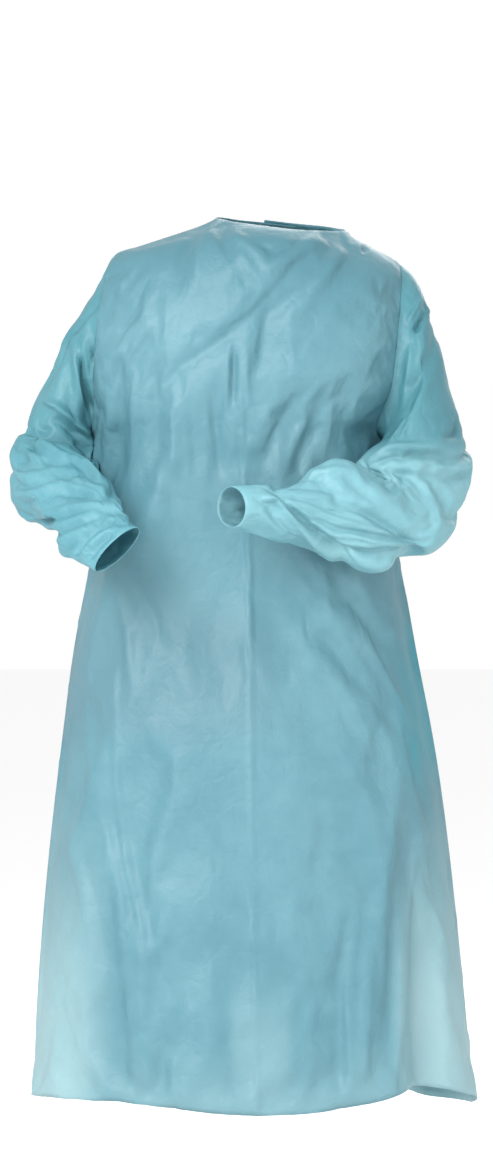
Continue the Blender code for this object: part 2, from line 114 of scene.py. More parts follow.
def makeStudio():
    world = bpy.data.worlds.new("studio")
    bpy.context.scene.world = world
    world.use_nodes = True
    background = world.node_tree.nodes["Background"]
    background.inputs["Color"].default_value = studio["skyColor"]
    background.inputs["Strength"].default_value = studio["skyStrength"]
    bpy.ops.mesh.primitive_plane_add(size=studio["floorSize"], location=(0, 0, studio["floorLevel"]))
    floor = bpy.context.object
    floor.name = "floor"
    paint = bpy.data.materials.new("floorPaint")
    paint.use_nodes = True
    shader = paint.node_tree.nodes["Principled BSDF"]
    shader.inputs["Base Color"].default_value = studio["floorColor"]
    shader.inputs["Roughness"].default_value = studio["floorRoughness"]
    floor.data.materials.append(paint)
    for name, (place, target, size, power) in studio["lamps"].items():
        makeLamp(name, place, target, size, power)
    bpy.context.scene.view_settings.view_transform = "Standard"


bpy.ops.object.select_all(action="DESELECT")
makeCamera()
makeStudio()
print("camera and studio ready")

# the garment's outer skin: the five pieces welded along their seams

skin = {
    "merge": 0.00002,     # corners nearer than this are one
    "wall": 0.0016,       # an edge shorter than this crosses a wall of the frame
    "squares": 2.5,       # how strongly triangles pair up along the sheet's own lines
    "weldReach": 0.0026,  # seam edges nearer than this are joined
    "roughLevels": 2,     # subdivisions before the folds are pressed in
    "fineLevels": 1,      # and after the film has crumpled
}


def connectedSides(mesh):  # groups of faces that hang together, the largest first
    sides = []
    left = set(mesh.faces)
    while left:
        side = [left.pop()]
        for face in side:
            near = {other for edge in face.edges for other in edge.link_faces} & left
            left -= near
            side += near
        sides.append(side)
    return sorted(sides, key=lambda side: -sum(face.calc_area() for face in side))


def outerSide(node):  # points, faces and open edge of the outer side of one piece
    mesh = bmesh.new()
    mesh.from_mesh(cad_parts[node].data)
    bmesh.ops.remove_doubles(mesh, verts=mesh.verts, dist=skin["merge"])
    rim = [face for face in mesh.faces if min(edge.calc_length() for edge in face.edges) < skin["wall"]]
    bmesh.ops.delete(mesh, geom=rim, context="FACES_ONLY")
    loose = [edge for edge in mesh.edges if not edge.link_faces]
    bmesh.ops.delete(mesh, geom=loose, context="EDGES")
    inner = [face for side in connectedSides(mesh)[1:] for face in side]
    bmesh.ops.delete(mesh, geom=inner, context="FACES")
    bmesh.ops.join_triangles(
        mesh, faces=mesh.faces, topology_influence=skin["squares"],
        angle_face_threshold=math.pi, angle_shape_threshold=math.pi,
    )
    mesh.verts.index_update()
    points = [vert.co.copy() for vert in mesh.verts]
    faces = [[vert.index for vert in face.verts] for face in mesh.faces]
    rimPoints = [vert.index for vert in mesh.verts if vert.is_boundary]
    mesh.free()
    print(" ", node, len(faces), "faces,", sum(len(face) == 3 for face in faces), "of them triangles")
    return points, faces, rimPoints


def weldPieces():
    points, faces, owner, rims = [], [], [], []
    for number, node in enumerate(panels):
        start = len(points)
        own, ownFaces, ownRim = outerSide(node)
        points += own
        owner += [number] * len(own)
        faces += [(number, [start + i for i in face]) for face in ownFaces]
        rims += [start + i for i in ownRim]
    tree = KDTree(len(rims))
    for place, i in enumerate(rims):
        tree.insert(points[i], place)
    tree.balance()
    parent = list(range(len(points)))

    def first(i):
        while parent[i] != i:
            i = parent[i]
        return i

    backs = {panels.index("back_right"), panels.index("back_left")}
    for i in rims:
        for _, place, _ in tree.find_range(points[i], skin["weldReach"]):
            j = rims[place]
            if owner[i] != owner[j] and {owner[i], owner[j]} != backs:  # the backs only lap
                parent[max(first(i), first(j))] = min(first(i), first(j))
    groups = {}
    for i in range(len(points)):
        groups.setdefault(first(i), []).append(i)
    order = {root: place for place, root in enumerate(groups)}
    welded = [sum((points[i] for i in group), Vector()) / len(group) for group in groups.values()]
    data = bpy.data.meshes.new("gownSkin")
    data.from_pydata(welded, [], [[order[first(i)] for i in face] for _, face in faces])
    data.polygons.foreach_set("material_index", [number for number, _ in faces])
    for node in panels:
        data.materials.append(bpy.data.materials.new(node))
    data.validate()
    data.shade_smooth()
    gown = bpy.data.objects.new("gownSkin", data)
    bpy.context.scene.collection.objects.link(gown)
    print("  welded:", len(points), "points to", len(welded))
    return gown


def applyModifier(thing, modifier):
    with bpy.context.temp_override(object=thing, active_object=thing):
        bpy.ops.object.modifier_apply(modifier=modifier.name)


def subdivide(thing, levels):
    modifier = thing.modifiers.new("finer", "SUBSURF")
    modifier.levels = modifier.render_levels = levels
    modifier.boundary_smooth = "PRESERVE_CORNERS"
    applyModifier(thing, modifier)


# Folds. A path's points are millimetres across, to the viewer's right, and up, as
# seen square on from 4 m away in front, behind or on the gown's own left or right.

Fold = namedtuple("Fold", "path width depth crisp ends")


# width is half the fold's, or its left and right halves as one walks the path; depth below
# zero is a trough; crisp runs from 0, round, to 1, sharp; ends are the shares that fade
def fold(path, width, depth, crisp=0.5, ends=(0.3, 0.3)):
    return Fold(path, width if isinstance(width, tuple) else (width, width), depth, crisp, ends)


hemward = (0.3, 0.04)
folds = {
    "front": {
        "front": [
            # round the neck
            fold([(-14, -23), (19, -36), (49, -28), (80, -27)], (5, 16), -3.5, 0.7, (0.3, 0.4)),
            fold([(-38, -14), (-12, -30), (18, -44)], 11, 3.0, 0.6),
            fold([(-54, -6), (-39, -42), (-18, -72)], (18, 9), -3.5, 0.4, (0.15, 0.5)),
            fold([(-30, -34), (-14, -62), (6, -84)], 14, 2.5, 0.4),
            fold([(-6, -42), (14, -66), (26, -56), (38, -42)], 10, 3.0, 0.4),
            # from the left neck point slanting down over the chest, and the one that drops from it
            fold(
                [(108, -22), (79, -36), (47, -58), (22, -87), (-4, -120), (-61, -163), (-99, -192)],
                (30, 9), -6.0, 0.55, (0.15, 0.3),
            ),
            fold(
                [(100, -14), (70, -26), (36, -50), (8, -78), (-24, -112), (-66, -142)],
                16, 2.5, 0.3, (0.2, 0.4),
            ),
            fold([(24, -82), (9, -131), (2, -182), (-6, -226)], (26, 9), -6.0, 0.5, (0.3, 0.45)),
            fold([(-6, -128), (-14, -176), (-24, -220)], 14, 2.5, 0.4, (0.4, 0.4)),
            fold([(98, -22), (75, -58), (53, -86), (28, -112)], (22, 10), -4.5, 0.5, (0.15, 0.5)),
            fold(
                [(120, -38), (98, -74), (75, -104), (60, -132), (50, -180)],
                (26, 14), -4.5, 0.4, (0.15, 0.4),
            ),
            fold([(88, -42), (62, -74), (40, -98)], 9, 2.5, 0.5),
            fold([(132, -29), (137, -40)], 6, -2.5, 0.6),
            # from the right neck point
            fold([(-80, -10), (-93, -55), (-99, -100), (-104, -140)], (22, 12), -4.5, 0.4, (0.15, 0.5)),
            fold([(-66, -14), (-76, -52), (-80, -96)], 9, 2.5, 0.5, (0.2, 0.5)),
            fold([(-128, -61), (-129, -137), (-137, -220)], (30, 16), -4.5, 0.35),
            fold([(-112, -70), (-116, -130), (-118, -186)], 10, 2.5, 0.4, (0.4, 0.4)),
            # beside the right sleeve
            fold([(-196, -137), (-196, -226), (-194, -315)], (12, 6), 4.0, 0.5),
            fold([(-182, -150), (-180, -240), (-176, -341)], (9, 12), -5.5, 0.5),
            fold([(-164, -176), (-162, -262), (-160, -341)], 11, 3.5, 0.5, (0.3, 0.2)),
            # troughs and ridges down the middle of the chest
            fold([(-132, -168), (-131, -240), (-128, -330)], (16, 22), -6.0, 0.45, (0.4, 0.2)),
            fold([(-106, -202), (-106, -262), (-104, -330)], 13, 4.0, 0.45, (0.4, 0.2)),
            fold([(-84, -226), (-80, -270), (-76, -330)], (10, 12), -3.5, 0.45, (0.5, 0.2)),
            fold([(-56, -212), (-52, -262), (-46, -330)], (16, 10), -5.0, 0.45, (0.4, 0.1)),
            fold([(-29, -157), (-30, -200), (-33, -240)], (6, 10), -3.5, 0.65),
            fold([(-36, -150), (-38, -196), (-40, -236)], 6, 2.0, 0.6, (0.4, 0.4)),
            fold([(-14, -152), (-14, -200), (-12, -246)], 6, 2.0, 0.6, (0.4, 0.4)),
            fold([(-12, -236), (-14, -276), (-18, -320)], (8, 16), -4.0, 0.4, (0.4, 0.1)),
            fold([(52, -214), (40, -242), (24, -274), (8, -320)], (16, 22), -7.0, 0.4, (0.4, 0.1)),
            fold([(66, -236), (52, -276), (38, -320)], 14, 3.5, 0.4, (0.4, 0.1)),
            fold([(78, -262), (66, -290), (54, -322)], (10, 16), -6.0, 0.45, (0.4, 0.1)),
            fold([(98, -226), (92, -270), (84, -312)], 14, 3.0, 0.4, (0.5, 0.2)),
            fold([(124, -206), (114, -256), (104, -306)], (12, 16), -3.0, 0.45, (0.5, 0.2)),
            # faint lines left by packing
            fold([(-120, -152), (-60, -146), (10, -150)], 5, -0.5, 0.9),
            fold([(20, -190), (60, -196), (96, -192)], 5, 0.6, 0.9),
            fold([(-22, -137), (-18, -303), (-10, -430), (-8, -734), (-1, -1128)], 6, 1.3, 0.9, (0.1, 0.0)),
            fold([(-184, -544), (-179, -709), (-165, -823), (-137, -944)], 8, 1.8, 0.7),
            # dragged down from under the left forearm
            fold([(110, -461), (142, -499), (180, -544)], (14, 26), -8.0, 0.5),
            fold([(116, -444), (129, -480)], 10, 3.0, 0.5),
            fold([(79, -508), (110, -557), (152, -607)], (16, 30), -7.0, 0.45),
            fold([(53, -455), (91, -496)], 13, 3.0, 0.4),
            fold([(70, -540), (96, -600), (128, -680)], (20, 34), -4.0, 0.3),
            fold([(193, -468), (166, -465)], 8, -5.0, 0.5),
            fold([(191, -496), (161, -488)], 9, -5.0, 0.5),
            fold([(190, -482), (170, -479)], 8, 3.5, 0.5),
            # under the right forearm
            fold([(-176, -430), (-150, -520), (-146, -620)], (26, 16), -4.0, 0.35),
            # the skirt
            fold([(-200, -785), (-190, -861), (-178, -988), (-169, -1103)], (16, 30), -7.0, 0.4, hemward),
            fold([(-150, -860), (-146, -1000), (-142, -1103)], (12, 20), 4.5, 0.4, hemward),
            fold([(-128, -938), (-118, -1103)], (12, 18), -4.0, 0.4, hemward),
            fold([(-112, -1052), (-106, -1122)], 10, 4.0, 0.5, hemward),
            fold([(-70, -800), (-66, -960), (-58, -1115)], (30, 24), -3.0, 0.3, hemward),
            fold([(53, -963), (50, -1115)], 14, -3.5, 0.4, hemward),
            fold([(117, -861), (104, -963), (102, -1103)], (12, 20), -7.0, 0.5, hemward),
            fold([(91, -760), (89, -988)], 26, 3.0, 0.2),
            fold([(140, -900), (134, -1090)], (14, 10), 4.0, 0.4, hemward),
            fold([(188, -760), (178, -900), (172, -1080)], (12, 22), -5.0, 0.4, hemward),
        ],
        "sleeve_left": [
            # below the shoulder
            fold([(208, -96), (189, -131)], 5, 3.5, 0.7),
            fold([(214, -116), (198, -142)], (5, 7), -7.0, 0.8),
            fold([(219, -109), (211, -120)], 5, 2.5, 0.6),
            fold([(218, -163), (205, -195), (186, -220)], (16, 9), -8.0, 0.5),
            fold([(226, -137), (221, -166)], 7, -3.5, 0.5),
            fold([(196, -150), (190, -200), (182, -240)], 8, 4.0, 0.5),
            # over the elbow
            fold(
                [(140, -309), (171, -298), (184, -300), (195, -294), (227, -294), (250, -295)],
                (4, 9), -5.5, 0.7, (0.2, 0.2),
            ),
            fold([(138, -298), (168, -288), (200, -284), (250, -286)], 9, 3.0, 0.4, (0.2, 0.2)),
            fold([(211, -311), (238, -305), (256, -309)], (4, 7), -3.5, 0.7, (0.3, 0.3)),
            fold([(211, -312), (238, -318), (256, -320)], (7, 4), -3.5, 0.7, (0.3, 0.3)),
            # the small tuck inside the bend
            fold([(160, -319), (168, -329)], 5, -3.5, 0.5),
            fold([(156, -333), (168, -337), (182, -335), (188, -320)], (5, 8), -3.0, 0.6, (0.3, 0.3)),
            # gathers from the wrist
            fold([(6, -340), (72, -354), (94, -365), (126, -372)], (5, 8), -3.0, 0.65, (0.3, 0.4)),
            fold([(8, -350), (50, -364), (90, -384)], 6, 3.0, 0.65, (0.2, 0.4)),
            fold([(8, -332), (40, -330), (90, -334)], (7, 10), -2.5, 0.5, (0.2, 0.4)),
            # the lobe over the forearm
            fold([(62, -331), (82, -324), (100, -344), (118, -356)], (6, 9), -4.0, 0.65, (0.3, 0.3)),
            fold([(58, -322), (74, -312), (100, -308), (132, -314)], 8, 3.5, 0.5, (0.3, 0.3)),
            fold([(112, -306), (124, -328), (150, -344)], (8, 12), -4.0, 0.5),
            # along the forearm
            fold(
                [(85, -352), (126, -363), (162, -385), (180, -399), (210, -408)],
                (12, 6), -7.5, 0.8, (0.3, 0.15),
            ),
            fold([(96, -350), (136, -360), (170, -380), (192, -396)], 7, 4.5, 0.65, (0.3, 0.2)),
            fold([(65, -374), (103, -390), (148, -399), (211, -410)], (5, 8), -5.0, 0.7, (0.2, 0.2)),
            fold([(72, -366), (110, -380), (152, -391), (200, -404)], 5, 3.0, 0.65),
            fold([(98, -392), (150, -406), (206, -412)], (7, 5), 4.0, 0.6),
            fold([(58, -382), (96, -404), (132, -410)], (5, 7), -4.0, 0.65),
            fold(
                [(5, -353), (22, -352), (53, -388), (80, -419), (103, -439), (119, -446)],
                (10, 6), 6.0, 0.7, (0.05, 0.15),
            ),
            fold([(20, -344), (60, -380), (92, -410), (118, -428)], (6, 9), -6.0, 0.65, (0.1, 0.2)),
            fold([(10, -360), (40, -400), (70, -424)], (9, 12), -4.0, 0.4, (0.2, 0.3)),
            fold(
                [(80, -402), (103, -414), (137, -420), (182, -418), (212, -414)],
                (7, 12), -8.0, 0.65, (0.15, 0.15),
            ),
            fold([(148, -430), (182, -428)], 8, -4.0, 0.6),
            fold([(110, -432), (150, -440), (190, -436)], 8, 3.0, 0.5),
            fold([(189, -306), (211, -334), (225, -370), (236, -394)], (22, 9), 4.0, 0.6, (0.2, 0.3)),
            fold([(206, -312), (230, -344), (244, -376)], (14, 12), -2.5, 0.4, (0.3, 0.3)),
        ],
        "sleeve_right": [
            # beside the armhole
            fold([(-227, -168), (-221, -207), (-211, -245)], (7, 5), -9.0, 0.7, (0.2, 0.15)),
            fold([(-236, -130), (-230, -180), (-220, -239)], (6, 10), 4.0, 0.5),
            fold([(-208, -157), (-205, -185)], 6, -5.0, 0.6),
            fold([(-252, -150), (-262, -185), (-268, -215)], (12, 9), -3.0, 0.4),
            # above the bend
            fold(
                [(-276, -226), (-256, -236), (-241, -249), (-226, -262), (-211, -275)],
                (10, 5), 7.0, 0.8, (0.2, 0.1),
            ),
            fold([(-262, -246), (-240, -262), (-224, -276)], (6, 12), -6.0, 0.55),
            fold([(-233, -276), (-218, -290), (-206, -306)], (9, 8), -9.0, 0.5, (0.2, 0.2)),
            fold([(-282, -262), (-262, -268)], 8, -3.0, 0.5),
            # the top of the forearm
            fold(
                [(-306, -273), (-289, -276), (-256, -286), (-235, -295),
                 (-220, -308), (-200, -327), (-187, -342)],
                (5, 9), 6.0, 0.7, (0.15, 0.1),
            ),
            fold([(-296, -284), (-270, -294), (-251, -297)], 5, -5.0, 0.7),
            fold([(-280, -300), (-256, -307), (-240, -308)], 5, -6.0, 0.75),
            fold([(-284, -306), (-258, -313), (-236, -316)], 5, 3.0, 0.65),
            fold([(-261, -324), (-249, -322), (-233, -328)], 5, -6.0, 0.75),
            fold([(-288, -322), (-262, -318), (-226, -320), (-196, -338)], 5, -4.0, 0.7, (0.25, 0.2)),
            fold([(-252, -349), (-233, -345), (-212, -348)], 5, -6.0, 0.75),
            fold([(-240, -300), (-222, -312), (-206, -330)], (5, 6), -5.5, 0.7),
            fold([(-228, -300), (-214, -314), (-200, -334)], 5, 3.5, 0.65),
            fold([(-246, -334), (-222, -338), (-196, -348)], 5, 3.0, 0.65),
            # gathers that fan out from the wrist
            fold(
                [(-300, -348), (-277, -338), (-252, -330), (-220, -328), (-190, -346)],
                (8, 5), 5.0, 0.75, (0.25, 0.1),
            ),
            fold([(-300, -362), (-280, -350), (-252, -342), (-205, -346)], (5, 8), -5.0, 0.7, (0.25, 0.2)),
            fold(
                [(-286, -376), (-264, -372), (-240, -364), (-206, -360), (-178, -362)],
                (8, 5), 6.0, 0.75, (0.2, 0.1),
            ),
            fold([(-286, -384), (-262, -378), (-239, -370), (-212, -366)], 5, -6.5, 0.75, (0.2, 0.2)),
            fold([(-270, -390), (-239, -380), (-201, -366)], 5, 4.5, 0.7, (0.2, 0.2)),
            fold([(-262, -400), (-226, -386), (-192, -374)], 5, -5.5, 0.75, (0.2, 0.2)),
            fold([(-258, -406), (-226, -390), (-182, -374)], 6, 5.0, 0.7, (0.2, 0.1)),
            fold([(-232, -424), (-222, -404), (-206, -390), (-182, -380)], (6, 7), -8.0, 0.8, (0.1, 0.2)),
            fold([(-240, -416), (-228, -402)], 5, -5.0, 0.7, (0.05, 0.3)),
            fold([(-216, -420), (-213, -411)], 5, -4.0, 0.65),
            fold([(-224, -426), (-208, -406), (-184, -388)], 6, 4.5, 0.6, (0.1, 0.2)),
            fold([(-214, -428), (-202, -412), (-184, -394)], 5, -4.5, 0.65, (0.1, 0.2)),
        ],
    },
    "back": {
        "back_left": [
            fold([(-92, -22), (-96, -90), (-70, -170), (-40, -240)], (24, 12), -7.0, 0.45, (0.1, 0.3)),
            fold([(-118, -34), (-128, -110), (-116, -210)], (18, 24), -5.0, 0.35, (0.1, 0.4)),
            fold([(-60, -30), (-58, -100), (-40, -180)], (14, 18), 4.0, 0.4, (0.1, 0.4)),
            fold([(-160, -230), (-120, -262), (-60, -270)], (10, 20), -6.0, 0.5),
            fold([(-165, -330), (-130, -362), (-84, -380)], (12, 20), -5.0, 0.45),
            fold([(-70, -320), (-66, -420), (-74, -560)], (20, 30), -5.0, 0.3),
            fold([(-130, -470), (-150, -700), (-168, -1115)], (20, 32), -8.0, 0.4, hemward),
            fold([(-60, -560), (-72, -820), (-84, -1115)], (22, 28), 6.0, 0.35, hemward),
            fold([(-16, -640), (-22, -880), (-26, -1115)], (20, 26), -6.0, 0.4, hemward),
            fold([(-205, -560), (-226, -820), (-244, -1115)], (16, 24), 6.0, 0.4, hemward),
            fold([(-116, -900), (-120, -1115)], (12, 20), -5.0, 0.45, hemward),
            fold([(-200, -545), (-90, -541), (30, -544)], 6, 1.0, 0.9, (0.05, 0.05)),
        ],
        "back_right": [
            fold([(66, -18), (74, -80), (62, -160), (48, -240)], (12, 24), -6.5, 0.45, (0.1, 0.3)),
            fold([(104, -24), (118, -110), (110, -220)], (24, 16), -5.0, 0.35, (0.1, 0.4)),
            fold([(196, -240), (150, -268), (80, -272)], (20, 10), -6.0, 0.5),
            fold([(196, -350), (150, -384), (96, -396)], (20, 12), -5.0, 0.45),
            fold([(88, -330), (96, -430), (92, -580)], (28, 20), -5.0, 0.3),
            fold([(150, -480), (164, -700), (176, -1115)], (32, 20), -8.0, 0.4, hemward),
            fold([(90, -600), (96, -860), (104, -1115)], (26, 22), 6.0, 0.35, hemward),
            fold([(222, -580), (240, -820), (254, -1108)], (24, 16), 6.0, 0.4, hemward),
            fold([(60, -760), (62, -940), (64, -1115)], (18, 14), -5.0, 0.45, hemward),
            fold([(210, -860), (214, -1108)], (20, 12), -5.0, 0.45, hemward),
        ],
        "sleeve_left": [
            fold([(-186, -84), (-204, -140), (-196, -200)], (9, 14), -7.0, 0.55, (0.1, 0.3)),
            fold([(-214, -110), (-230, -170), (-224, -230)], (8, 12), -5.0, 0.55),
            fold([(-196, -120), (-210, -180), (-206, -240)], 9, 4.0, 0.5),
            fold([(-170, -250), (-205, -270), (-246, -262)], (8, 12), -8.0, 0.6, (0.1, 0.3)),
            fold([(-176, -284), (-214, -300), (-262, -290)], (7, 12), -8.0, 0.65, (0.1, 0.3)),
            fold([(-180, -318), (-216, -328), (-256, -330)], (7, 10), -6.0, 0.6, (0.1, 0.3)),
            fold([(-178, -300), (-216, -314), (-258, -310)], 8, 5.0, 0.5),
            fold([(-150, -350), (-190, -372), (-236, -366)], (8, 12), -6.0, 0.55),
            fold([(-60, -380), (-110, -400), (-170, -408)], (8, 12), -6.0, 0.55, (0.05, 0.3)),
            fold([(-20, -352), (-70, -366), (-130, -372)], (6, 9), -5.0, 0.6, (0.05, 0.4)),
        ],
        "sleeve_right": [
            fold([(184, -76), (204, -140), (200, -200)], (14, 9), -7.0, 0.55, (0.1, 0.3)),
            fold([(222, -110), (246, -170), (244, -230)], (12, 8), -5.0, 0.55),
            fold([(204, -120), (222, -180), (224, -240)], 9, 4.0, 0.5),
            fold([(204, -250), (244, -276), (288, -272)], (12, 8), -8.0, 0.6, (0.1, 0.3)),
            fold([(212, -292), (252, -312), (298, -308)], (12, 7), -8.0, 0.65, (0.1, 0.3)),
            fold([(210, -330), (250, -344), (296, -346)], (10, 7), -6.0, 0.6, (0.1, 0.3)),
            fold([(212, -312), (252, -328), (296, -328)], 8, 5.0, 0.5),
            fold([(200, -372), (232, -384), (276, -378)], (10, 8), -6.0, 0.55, (0.05, 0.3)),
        ],
    },
    "left": {
        "sleeve_left": [
            fold([(-40, -84), (-10, -130), (-22, -190)], (9, 14), -6.0, 0.5, (0.1, 0.3)),
            fold([(20, -90), (14, -150), (-18, -210)], (9, 14), -6.0, 0.5, (0.1, 0.3)),
            fold([(-150, -290), (-110, -298), (-60, -286), (-24, -262)], (8, 12), -5.0, 0.6, (0.1, 0.2)),
            fold([(-150, -318), (-104, -322), (-58, -310)], (8, 12), -5.0, 0.6, (0.1, 0.3)),
            fold([(-60, -236), (-84, -262), (-120, -270)], (8, 10), -5.0, 0.6),
            fold([(-130, -304), (-96, -310), (-60, -298)], 8, 3.5, 0.5),
            fold([(-56, -350), (-96, -372), (-150, -372)], (10, 12), -5.0, 0.5),
        ],
    },
    "right": {
        "sleeve_right": [
            fold([(50, -76), (24, -130), (32, -190)], (14, 9), -6.0, 0.5, (0.1, 0.3)),
            fold([(-10, -84), (0, -150), (30, -210)], (14, 9), -6.0, 0.5, (0.1, 0.3)),
            fold([(140, -286), (100, -300), (50, -290), (16, -266)], (12, 8), -6.0, 0.6, (0.1, 0.2)),
            fold([(150, -322), (104, -330), (56, -318)], (12, 8), -7.0, 0.6, (0.1, 0.3)),
            fold([(130, -306), (92, -314), (54, -304)], 8, 5.0, 0.5),
            fold([(56, -350), (96, -372), (150, -376)], (12, 10), -5.0, 0.5),
        ],
    },
}


foldShape = {
    "tip": 0.1,          # how round a crisp fold's very tip stays
    "steepness": 1.4,
    "endStart": 0.15,    # the share of its depth that a fold has at its very end
    "crispFrom": 0.6,    # a row this crisp or more is pressed in again after the film has crumpled
    "firstCrisp": 0.35,  # the share of its depth that it has before that
    "facing": (-0.45, 0.15),  # folds show from where the cloth starts to face that side, to where it does
}
towards = {"front": (0, -1, 0), "back": (0, 1, 0), "left": (1, 0, 0), "right": (-1, 0, 0)}


def seenFrom(points, side):  # millimetres across and up, as seen from 4 m away on that side
    across, depth = {
        "front": (points[:, 0], points[:, 1]),
        "back": (-points[:, 0], -points[:, 1]),
        "left": (points[:, 1], -points[:, 0]),
        "right": (-points[:, 1], points[:, 0]),
    }[side]
    centreX, _, centreZ = studio["eye"]
    middle = centreX if side == "front" else 0.0
    scale = studio["away"] / (studio["away"] + depth)
    return np.stack([
        (middle + (across - middle) * scale) * 1000,
        (centreZ + (points[:, 2] - centreZ) * scale) * 1000,
    ], axis=-1)


def smooth(share):
    share = np.clip(share, 0, 1)
    return share * share * (3 - 2 * share)


def foldDepths(seen, table):  # how far a table's folds move each seen place, in millimetres
    total = np.zeros(len(seen))
    tip, endStart = foldShape["tip"], foldShape["endStart"]
    for row in table:
        path = np.array(row.path, float)
        widest = max(row.width)
        near = np.all((seen > path.min(0) - widest) & (seen < path.max(0) + widest), axis=1)
        here = seen[near]
        runs = np.diff(path, axis=0)
        lengths = np.hypot(runs[:, 0], runs[:, 1])
        starts = np.concatenate([[0], np.cumsum(lengths)])
        nearest = np.full(len(here), np.inf)
        along = np.zeros(len(here))
        leftHand = np.zeros(len(here), bool)
        for point, run, length, start in zip(path, runs, lengths, starts):
            share = np.clip((here - point) @ run / length**2, 0, 1)
            off = here - point - share[:, None] * run
            distance = np.hypot(off[:, 0], off[:, 1])
            closer = distance < nearest
            nearest[closer] = distance[closer]
            along[closer] = (start + share * length)[closer] / starts[-1]
            leftHand[closer] = (run[0] * off[:, 1] - run[1] * off[:, 0] > 0)[closer]
        off = nearest / np.where(leftHand, *row.width)
        sharp = np.clip(1 + tip - np.hypot(off, tip), 0, 1) ** foldShape["steepness"]
        shape = (1 - smooth(off)) * (1 - row.crisp) + sharp * row.crisp
        for share, fromEnd in zip(row.ends, (along, 1 - along)):
            if share:
                shape *= smooth(fromEnd / share * (1 - endStart) + endStart)
        total[near] += row.depth * shape
    return total


def meshArrays(data):
    points = np.empty(len(data.vertices) * 3)
    normals = np.empty(len(data.vertices) * 3)
    data.vertices.foreach_get("co", points)
    data.vertices.foreach_get("normal", normals)
    return points.reshape(-1, 3), normals.reshape(-1, 3)


def placePoints(data, points):
    data.vertices.foreach_set("co", points.ravel())
    data.update()


def readMark(data, name):
    mark = np.empty(len(data.vertices))
    data.attributes[name].data.foreach_get("value", mark)
    return mark


def writeMark(data, name, mark):
    data.attributes.new(name, "FLOAT", "POINT").data.foreach_set("value", mark)


def readPlaces(data, name):
    values = np.empty(len(data.vertices) * 3)
    data.attributes[name].data.foreach_get("vector", values)
    return values.reshape(-1, 3)


def writePlaces(data, name, values):
    data.attributes.new(name, "FLOAT_VECTOR", "POINT").data.foreach_set("vector", values.ravel())


def calmNormals(data):  # the skin's directions before any fold
    normals = readPlaces(data, "baseNormal")
    return normals / np.linalg.norm(normals, axis=1)[:, None]


def softLimit(moves, most):  # shortens moves smoothly, so that none is longer than most
    size = np.linalg.norm(moves, axis=1)
    return moves * (np.tanh(size / most) * most / np.maximum(size, 1e-9))[:, None]


def shareOfPanels(data):  # for each panel, how much of each point is its own: 1 inside, less on a seam
    shares = np.zeros((len(panels), len(data.vertices)))
    for polygon in data.polygons:
        shares[polygon.material_index, list(polygon.vertices)] += 1
    return shares / shares.sum(0)


def treeOf(data, points, which):
    faces = [list(polygon.vertices) for polygon in data.polygons if polygon.material_index in which]
    return BVHTree.FromPolygons([Vector(point) for point in points], faces)


# places where the cloth is drawn aside, each with its reach and its move

Draw = namedtuple("Draw", "sheets place reach move")
body = panels[:3]
draws = [
    # out to the sides above the waist, and in under the left arm
    Draw(body, (0.163, -0.015, -0.295), 0.080, (0.019, 0.0, 0.0)),
    Draw(body, (-0.202, 0.010, -0.300), 0.082, (-0.019, 0.0, 0.0)),
    Draw(panels, (0.150, -0.070, -0.300), 0.095, (-0.026, 0.0, 0.0)),
    # up at the shoulders
    Draw(panels, (-0.120, 0.000, -0.010), 0.110, (0.0, 0.0, 0.005)),
    Draw(panels, (0.120, 0.000, -0.020), 0.110, (0.0, 0.0, 0.005)),
    # in and up under the right forearm, and out at its elbow
    Draw(["sleeve_right"], (-0.288, -0.115, -0.392), 0.065, (0.016, 0.0, 0.013)),
    Draw(["sleeve_right"], (-0.262, -0.150, -0.413), 0.060, (0.017, 0.0, 0.016)),
    Draw(["sleeve_right"], (-0.302, -0.022, -0.290), 0.036, (-0.011, 0.0, 0.002)),
    # out along both upper sleeves
    Draw(["sleeve_right"], (-0.240, 0.000, -0.150), 0.075, (-0.006, 0.0, 0.003)),
    Draw(["sleeve_left"], (0.230, -0.010, -0.160), 0.070, (0.006, 0.0, 0.002)),
    # together between the right elbow and the body
    Draw(["sleeve_right"], (-0.212, 0.000, -0.298), 0.060, (0.020, 0.0, 0.0)),
    Draw(body, (-0.212, 0.005, -0.300), 0.050, (-0.009, 0.0, 0.0)),
    # the left forearm's upper and lower outline
    Draw(["sleeve_left"], (0.085, -0.180, -0.310), 0.055, (0.0, 0.0, 0.010)),
    Draw(["sleeve_left"], (0.180, -0.150, -0.436), 0.042, (0.0, 0.0, 0.013)),
    Draw(["sleeve_left"], (0.126, -0.168, -0.440), 0.035, (0.0, 0.0, -0.004)),
    # forward behind the left forearm
    Draw(["front"], (0.125, -0.090, -0.290), 0.060, (0.0, -0.009, 0.0)),
]

# how far each place may rise or sink before it would meet another layer of the gown
room = {
    "start": 0.001,     # rays start this far off the cloth
    "farthest": 0.06,
    "share": 0.42,      # of the free distance that a place may use
    "drawGap": 0.002,   # a draw stops this far from the other panels
    "seamShare": 0.99,  # a point less its own than this lies on a seam
    "least": 0.001,     # a point drawn by a smaller share than this stays
}


